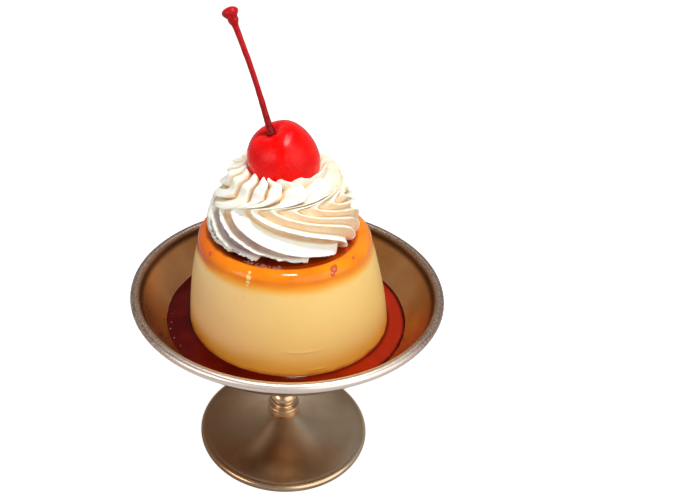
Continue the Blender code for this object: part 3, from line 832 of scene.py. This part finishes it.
def cream_rosette(finish):
    """A dome piped with a star nozzle, whose flutes wind up the side, hook and curl into petals round the cherry."""
    columns = FLUTES * FLUTE_POINTS
    outline = curve_through(CREAM_OUTLINE, CREAM_ROWS)
    along = np.gradient(outline, axis=0)
    along /= np.linalg.norm(along, axis=1, keepdims=True)
    outward = np.stack([along[:, 1], -along[:, 0]], axis=1)
    share, flute = np.meshgrid(np.linspace(0, 1, CREAM_ROWS), np.arange(columns) / FLUTE_POINTS, indexing="ij")
    gap = np.floor(flute).astype(int) % FLUTES
    across = flute - np.floor(flute)
    hook_share = of_flute(HOOK_SHARE, flute)
    petal = smooth(hook_share - 0.05, hook_share + 0.10, share)
    valley = np.array(VALLEY_PLACE)[gap] * (1 - petal) + PETAL_VALLEY * petal
    below = np.clip(across / valley, 0, 1)
    above = np.clip((across - valley) / (1 - valley), 0, 1)
    hollow = (1 - (1 - below) ** 1.7) * (1 - petal) + below**2.0 * petal
    cut = np.where(across < valley, hollow, 1 - above**1.5)
    crest = np.exp(-((np.minimum(across, 1 - across) / 0.12) ** 2))
    depth = np.array(GROOVE_DEPTH)[gap] * (1 - petal) * (0.5 + 0.5 * smooth(0.0, 0.1, share))
    depth += petal * (3.2 + 0.8 * smooth(0.88, 1.0, share))
    puff = 1.7 * np.exp(-(((share - 0.81) / 0.06) ** 2)) * (1 - cut)
    turn = np.radians(flute_turn(share, flute))
    turn += np.radians(5.0) * crest * petal * (1 - smooth(0.93, 1.0, share))
    ragged = of_flute(RAGGED, flute) * np.exp(-((np.minimum(across, 1 - across) / 0.07) ** 2)) * (1 - petal)
    teeth = ripple(np.dstack([share * 90, np.round(flute) * 7.3, turn * 3]), 1.0, 2.0)
    inset = depth * cut - puff + 0.8 * ragged * teeth
    rng = np.random.default_rng(5)
    lean = of_flute(rng.uniform(-1.0, 1.0, FLUTES), np.round(flute) % FLUTES)
    tip = smooth(0.88, 1.0, share) * (1 - cut)
    radius = outline[:, :1] - outward[:, :1] * inset + tip * (0.4 + 1.2 * lean)
    height = outline[:, 1:] - outward[:, 1:] * inset + tip * (0.8 + 0.8 * lean)
    height -= 0.5 * crest * (1 - petal) * smooth(0.1, 0.25, share)
    cushion = np.exp(-(((share - hook_share - 0.09) / 0.06) ** 2)) * (1 - cut)
    height -= 0.6 * cushion
    radius += 0.4 * cushion
    radius = radius + ripple(np.dstack([radius * np.cos(turn), radius * np.sin(turn), height]), 6.0, 9.0) * 0.25
    rings = np.dstack([radius * np.cos(turn), radius * np.sin(turn), height])
    seat = []
    reach_in = CHERRY_RADIUS + CHERRY_LENGTHENING + 0.6
    for reach in (0.86, 0.7, 0.45):
        lower = CHERRY_PLACE[2] - reach_in * math.sqrt(1 - reach**2)
        ring = np.stack([np.cos(turn[-1]), np.sin(turn[-1]), np.zeros(columns)], axis=-1) * reach_in * reach
        seat.append(ring + np.array([0, 0, lower]))
    flipped = np.concatenate([rings, np.array(seat)])[:, ::-1]
    place = np.array(TOPPING_PLACE)
    cream = skin("cream_rosette_piped", flipped + place, place, place + (0, 0, CHERRY_PLACE[2] - reach_in))
    compass = np.degrees(turn) % 360
    # Painted shade on the cream: on the flutes' undersides, in their grooves, in crescents under the petals, in dents
    # before the tips and on the right-hand petals.
    underside_shade = smooth(0.02, 0.12, across) * (1 - smooth(valley - 0.06, valley + 0.04, across)) * (1 - petal)
    # Painted shade along each groove.
    fold_shade = np.exp(-(((across - valley) / 0.09) ** 2)) * (1 - 0.3 * petal)
    # Painted shade in crescents under each petal's edge.
    crescent_shade = smooth(0.0, 0.6, cut) * (across > valley - 0.1) * petal
    # Painted shade in the dent just below each tip.
    dent_shade = 0.6 * np.exp(-(((share - 0.90) / 0.035) ** 2)) * smooth(0.15, 0.4, across) * petal
    # Painted shade on the right-hand petals, which face away from the light.
    right = 0.6 * smooth(65, 25, np.abs((compass + 170) % 360 - 180 - 5))
    right = right * smooth(0.66, 0.76, share) * (1 - smooth(0.9, 0.98, share))
    # Hue of the painted shade, flute by flute, fading out higher up.
    shade_hue = np.array(SHADE_HUE)[gap] * (1 - smooth(0.45, 0.62, share))
    juice = smooth(0.9, 1.0, share) * np.exp(-(((compass - 215) / 26) ** 2)) * smooth(0.2, 0.7, cut)
    extra = np.zeros((3, columns))
    for name, values in (
        ("under", np.maximum.reduce([underside_shade, 0.9 * crescent_shade, dent_shade, right])),
        ("fold_shade", fold_shade),
        ("shade_hue", shade_hue),
        ("juice", juice),
    ):
        mark(cream, name, np.concatenate([values, extra])[:, ::-1])
    return finished(cream, finish, "whipped_cream", "cream_rosette")


# Cherry


def cherry_axes():
    """The cherry's own X, Y and Z directions."""
    about_x, about_y = (math.radians(a) for a in CHERRY_LEAN)
    cx, sx, cy, sy = math.cos(about_x), math.sin(about_x), math.cos(about_y), math.sin(about_y)
    return np.array([[cy, sy * sx, sy * cx], [0.0, cx, -sx], [-sy, cy * sx, cy * cx]])


def cherry(finish):
    polar = np.radians(np.linspace(178, 1.5, 120))[:, None]
    angles = np.linspace(0, math.tau, 180, endpoint=False)[None]
    dimple = np.exp(-((np.degrees(polar) / DIMPLE_ANGLE) ** 2))
    radius = CHERRY_RADIUS - DIMPLE_DEPTH * dimple + CHERRY_LENGTHENING * (0.5 - 0.5 * np.cos(polar)) ** 2
    grid = np.dstack(
        [np.sin(polar) * np.cos(angles), np.sin(polar) * np.sin(angles), np.cos(polar) * np.ones_like(angles)]
    )
    radius = radius + ripple(grid * 12, 9.0, 11.0) * 0.16 + ripple(grid * 12, 2.6, 12.0) * 0.035
    crumple = np.exp(-(((np.degrees(polar) - 16) / 10) ** 2)) * np.cos(angles * 5 + 0.6)
    radius = radius + 0.10 * crumple
    centre = np.array(TOPPING_PLACE) + CHERRY_PLACE
    turned = (grid * radius[..., None]) @ cherry_axes().T
    turned[..., 0] *= 1 - 0.16 / CHERRY_RADIUS * turned[..., 2] * (turned[..., 0] > 0)
    turned += centre
    axis = cherry_axes() @ np.array([0, 0, 1.0])
    low, high = centre - axis * (CHERRY_RADIUS + CHERRY_LENGTHENING), centre + axis * (CHERRY_RADIUS - DIMPLE_DEPTH)
    fruit = skin("cherry_fruit", turned, low, high)
    mark(fruit, "dimple", np.broadcast_to(smooth(20, 8, np.degrees(polar)), grid.shape[:2]))
    return finished(fruit, finish, "cherry_skin", "cherry")


def cherry_stalk(finish):
    """The stalk, swept along its curve, with a two-lobed knob where it grew on the twig."""
    rows, sides = 170, 28
    axis = cherry_axes() @ np.array([0, 0, 1.0])
    centre = np.array(TOPPING_PLACE) + CHERRY_PLACE
    start = centre + axis * (CHERRY_RADIUS - DIMPLE_DEPTH + STALK_ROOT_HEIGHT)
    end = centre + axis * (CHERRY_RADIUS - DIMPLE_DEPTH + 0.7) + np.array(STALK_END)
    middle = (start + end) / 2 + np.array([STALK_BEND, 0.0, 0.0])
    line = curve_through([start, middle, end], rows)
    along = np.gradient(line, axis=0)
    along /= np.linalg.norm(along, axis=1, keepdims=True)
    side = np.cross(along, [0.0, 1.0, 0.0])
    side /= np.linalg.norm(side, axis=1, keepdims=True)
    front = np.cross(along, side)
    t = np.linspace(0, 1, rows)
    place, thickness = curve_through(STALK_THICKNESS, 400).T
    radius = np.interp(t, place, thickness)
    angles = np.linspace(0, math.tau, sides, endpoint=False)
    lobes = 1 + 0.10 * smooth(0.88, 0.94, t)[:, None] * np.cos(2 * angles[None] + 0.5)
    circle = (
        side[:, None] * np.cos(angles)[None, :, None] + front[:, None] * np.sin(angles)[None, :, None]
    ) * (radius[:, None] * lobes)[..., None]
    rings = line[:, None] + circle
    rings += circle * (ripple(rings, 2.2, 3.0) * 0.08)[..., None]
    stalk = skin("cherry_stalk_bent", rings[:-1], rings[0].mean(axis=0), line[-1])
    return finished(stalk, finish, "cherry_stalk", "cherry_stalk")


def finished(obj, finish, slot, *stands_for):
    """Gives a piece its finish and its body, and hides the nodes that it stands for. The slot is not used."""
    obj.data.materials.append(finish)
    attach(obj, "root")
    if stands_for:
        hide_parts(*stands_for)
    return obj


# Drops

DRIP_DROPS = (  # degrees round from +X, height on the pudding, radius
    (-113.6, 40.6, 0.7), (-113.8, 39.2, 1.0), (-114.2, 37.6, 0.8), (-114.5, 36.4, 0.55),
    (-114.9, 35.2, 0.4), (-115.6, 33.6, 0.35), (-116.2, 32.4, 0.3), (-121.0, 29.2, 0.35),
)  # fmt: skip
EDGE_DROPS = ((-58.5, 40.7, 1.3), (-60.5, 39.6, 0.8), (-56.5, 41.1, 0.7), (-40.0, 40.9, 0.6), (-148.0, 40.6, 0.8))
BUBBLE_TURNS = (-152.0, -158.5, -166.0, -171.0, -178.0, -128.0, -36.0, -20.0)
FROTH_TURNS = (-124, -92)  # degrees between which the froth lies
FROTH_COUNT = 46
FROTH_REACH = 24.3  # from the pudding's middle to the froth's inner edge


def domes(name, finish, slot, spots):
    """Small domes of liquid as one mesh. Each has a place, the way it faces, a radius and a height."""
    points, faces = [], []
    rings, sides = 5, 12
    for place, facing, radius, height in spots:
        facing = Vector(facing).normalized()
        frame_axes = facing.to_track_quat("Z", "Y").to_matrix()
        first = len(points)
        for i in range(rings):
            angle = math.pi / 2 * i / rings
            for j in range(sides):
                turn = math.tau * j / sides
                flat = radius * math.cos(angle)
                local = Vector((flat * math.cos(turn), flat * math.sin(turn), height * math.sin(angle)))
                points.append(Vector(place) + frame_axes @ local)
        points.append(Vector(place) + facing * height)
        for i in range(rings - 1):
            for j in range(sides):
                a, b = first + i * sides + j, first + i * sides + (j + 1) % sides
                faces.append((a, b, b + sides, a + sides))
        top = first + (rings - 1) * sides
        faces += [(top + j, top + (j + 1) % sides, len(points) - 1) for j in range(sides)]
        faces.append([first + j for j in reversed(range(sides))])
    mesh = bpy.data.meshes.new(name)
    mesh.from_pydata([tuple(p * MM) for p in points], [], faces)
    mesh.shade_smooth()
    obj = bpy.data.objects.new(name, mesh)
    bpy.context.scene.collection.objects.link(obj)
    return finished(obj, finish, slot)


def on_side(turn, height):
    """A spot on the pudding's side, and the way that it faces."""
    angle = math.radians(turn)
    reach = float(side_radius(min(height, PUDDING_HEIGHT - TOP_ROUNDING))) - 0.2
    over = max(height - (PUDDING_HEIGHT - TOP_ROUNDING), 0.0)
    reach -= TOP_ROUNDING - math.sqrt(max(TOP_ROUNDING**2 - over**2, 0.0))
    spot = sagged(np.array([reach * math.cos(angle), reach * math.sin(angle), height]))
    return spot, (math.cos(angle), math.sin(angle), 0.15 + 0.6 * over / TOP_ROUNDING)


def caramel_drip():
    """A run of drops down the front of the pudding, where a little clear syrup trickled from the edge."""
    clear = syrup("clear syrup", rgb(246, 190, 96), rgb(252, 206, 120))
    spots = []
    for turn, height, radius in DRIP_DROPS:
        place, facing = on_side(turn, height)
        spots.append((place, facing, radius, radius * 0.45))
    domes("caramel_drip_drops", clear, "caramel_custard", spots)


def sauce_bubbles():
    """Froth where the cream sits in the sauce, bubbles along the sauce's edge, and a blob on the pudding's edge."""
    rng = np.random.default_rng(11)
    froth = syrup("caramel froth", rgb(190, 104, 84), rgb(226, 160, 130))
    spots = []
    for turn in rng.uniform(*FROTH_TURNS, FROTH_COUNT):
        reach = FROTH_REACH + rng.uniform(0.0, 1.6)
        angle = math.radians(turn)
        size = rng.uniform(0.25, 0.75)
        height = PUDDING_HEIGHT - PUDDLE_LEVEL - 0.25
        place = sagged(np.array([reach * math.cos(angle), reach * math.sin(angle), height]))
        spots.append((place, (0, 0, 1), size, size * 0.8))
    domes("sauce_froth", froth, "caramel_sauce", spots)
    red = syrup("caramel blob", rgb(196, 60, 20), rgb(226, 92, 30))
    spots = []
    for turn, height, radius in EDGE_DROPS:
        place, facing = on_side(turn, height)
        spots.append((place, facing, radius, radius * 0.4))
    domes("caramel_edge_drops", red, "caramel_custard", spots)
    dark = syrup("sauce bubbles", rgb(120, 20, 8), rgb(170, 50, 20))
    spots = []
    for turn in BUBBLE_TURNS:
        reach = bowl_radius(SAUCE_LEVEL) - rng.uniform(0.5, 1.6)
        angle = math.radians(turn)
        size = rng.uniform(0.25, 0.45)
        spots.append(((reach * math.cos(angle), reach * math.sin(angle), SAUCE_LEVEL), (0, 0, 1), size, size * 0.7))
    domes("sauce_bubbles", dark, "caramel_sauce", spots)


# Studio

FLOOR_HALF_WIDTH = 6.0  # studio sizes are in metres
FLOOR_CLEARANCE = 0.0004  # below the foot
FLOOR_WHITE = 0.84
LAMP_TARGET = (0.0, 0.0, 0.09)
LAMPS = (  # name, place, size and watts
    ("top lamp", (0.05, -0.07, 0.66), 0.12, 2.3),
    ("right lamp", (0.62, -0.62, 0.46), 1.20, 5.4),
    ("left lamp", (-0.70, -0.50, 0.42), 0.50, 2.1),
)
SENSOR_WIDTH = 36.0
LENS_LENGTH = 37.03
LENS_SHIFT = 0.1257
CAMERA_PLACE = (-0.00894, -0.2188, 0.2249)
CAMERA_PITCH = 31.98  # degrees down


def floor_and_light():
    """A white floor, a pale surround that is darker overhead, and soft white lamps."""
    mesh = bpy.data.meshes.new("floor")
    half = FLOOR_HALF_WIDTH
    mesh.from_pydata([(-half, -half, 0), (half, -half, 0), (half, half, 0), (-half, half, 0)], [], [(0, 1, 2, 3)])
    floor = bpy.data.objects.new("floor", mesh)
    floor.location.z = -FLOOR_CLEARANCE
    bpy.context.scene.collection.objects.link(floor)
    material, tree, shader = new_finish("white floor")
    light_path = tree.nodes.new("ShaderNodeLightPath").outputs
    seen = sums(tree, "MULTIPLY", light_path["Is Camera Ray"], FLOOR_WHITE)
    set_shader(tree, shader, Base_Color=(0.6, 0.6, 0.6, 1.0), Roughness=0.9, Specular_IOR_Level=0.0)
    set_shader(tree, shader, Emission_Color=(1.0, 1.0, 1.0, 1.0), Emission_Strength=seen)
    floor.data.materials.append(material)

    world = bpy.data.worlds.new("studio")
    bpy.context.scene.world = world
    world.use_nodes = True
    tree = world.node_tree
    up = put(tree, "ShaderNodeSeparateXYZ", Vector=tree.nodes.new("ShaderNodeTexCoord").outputs["Generated"]).outputs[2]
    level = fade(tree, up, 0.0, 0.8, 0.40, 0.22)
    background = tree.nodes["Background"]
    tree.links.new(level, background.inputs["Strength"])
    background.inputs["Color"].default_value = (1.0, 1.0, 1.0, 1.0)

    for name, place, size, power in LAMPS:
        lamp = bpy.data.lights.new(name, "AREA")
        lamp.shape = "DISK"
        lamp.size = size
        lamp.energy = power
        holder = bpy.data.objects.new(name, lamp)
        holder.location = place
        holder.rotation_euler = (Vector(LAMP_TARGET) - Vector(place)).to_track_quat("-Z", "Y").to_euler()
        bpy.context.scene.collection.objects.link(holder)


def camera():
    lens = bpy.data.cameras.new("camera")
    lens.sensor_width = SENSOR_WIDTH
    lens.lens = LENS_LENGTH
    lens.shift_x = LENS_SHIFT
    lens.clip_start = 0.01
    holder = bpy.data.objects.new("camera", lens)
    holder.location = CAMERA_PLACE
    holder.rotation_euler = (math.radians(90 - CAMERA_PITCH), 0.0, 0.0)
    bpy.context.scene.collection.objects.link(holder)
    bpy.context.scene.camera = holder


def main():
    camera()
    floor_and_light()
    # The bowl's inside tones are a painted warm reflection, the third rim tone is a painted highlight on the rim's
    # front, and the fourth colour given to each steel is painted shade on its left side.
    painted_inside_reflection = (rgb(204, 150, 98), rgb(226, 178, 124))
    frosted = (rgb(156, 124, 104), rgb(216, 188, 170), rgb(242, 226, 214))
    bowl_steel = worn_steel(
        "worn bowl steel", rgb(172, 148, 128), rgb(196, 174, 154), rgb(166, 134, 108), 0.3, 0.26, painted_inside_reflection, frosted
    )
    foot_steel = worn_steel("worn foot steel", rgb(204, 170, 134), rgb(232, 200, 164), rgb(170, 116, 74), 0.1, 0.2)
    dish_bowl(bowl_steel)
    dish_stem(foot_steel)
    dish_foot(foot_steel)
    pudding_body(set_custard())
    caramel_puddle(burnt_caramel("burnt caramel on top", rgb(96, 4, 0), rgb(186, 66, 8)))
    caramel_pool(burnt_caramel("burnt caramel in the bowl", rgb(70, 0, 0), rgb(162, 38, 6)))
    cream_rosette(whipped_cream())
    cherry(glace_cherry())
    cherry_stalk(cherry_stalk_skin())
    caramel_drip()
    sauce_bubbles()
    bpy.context.scene.view_settings.view_transform = "Standard"


main()
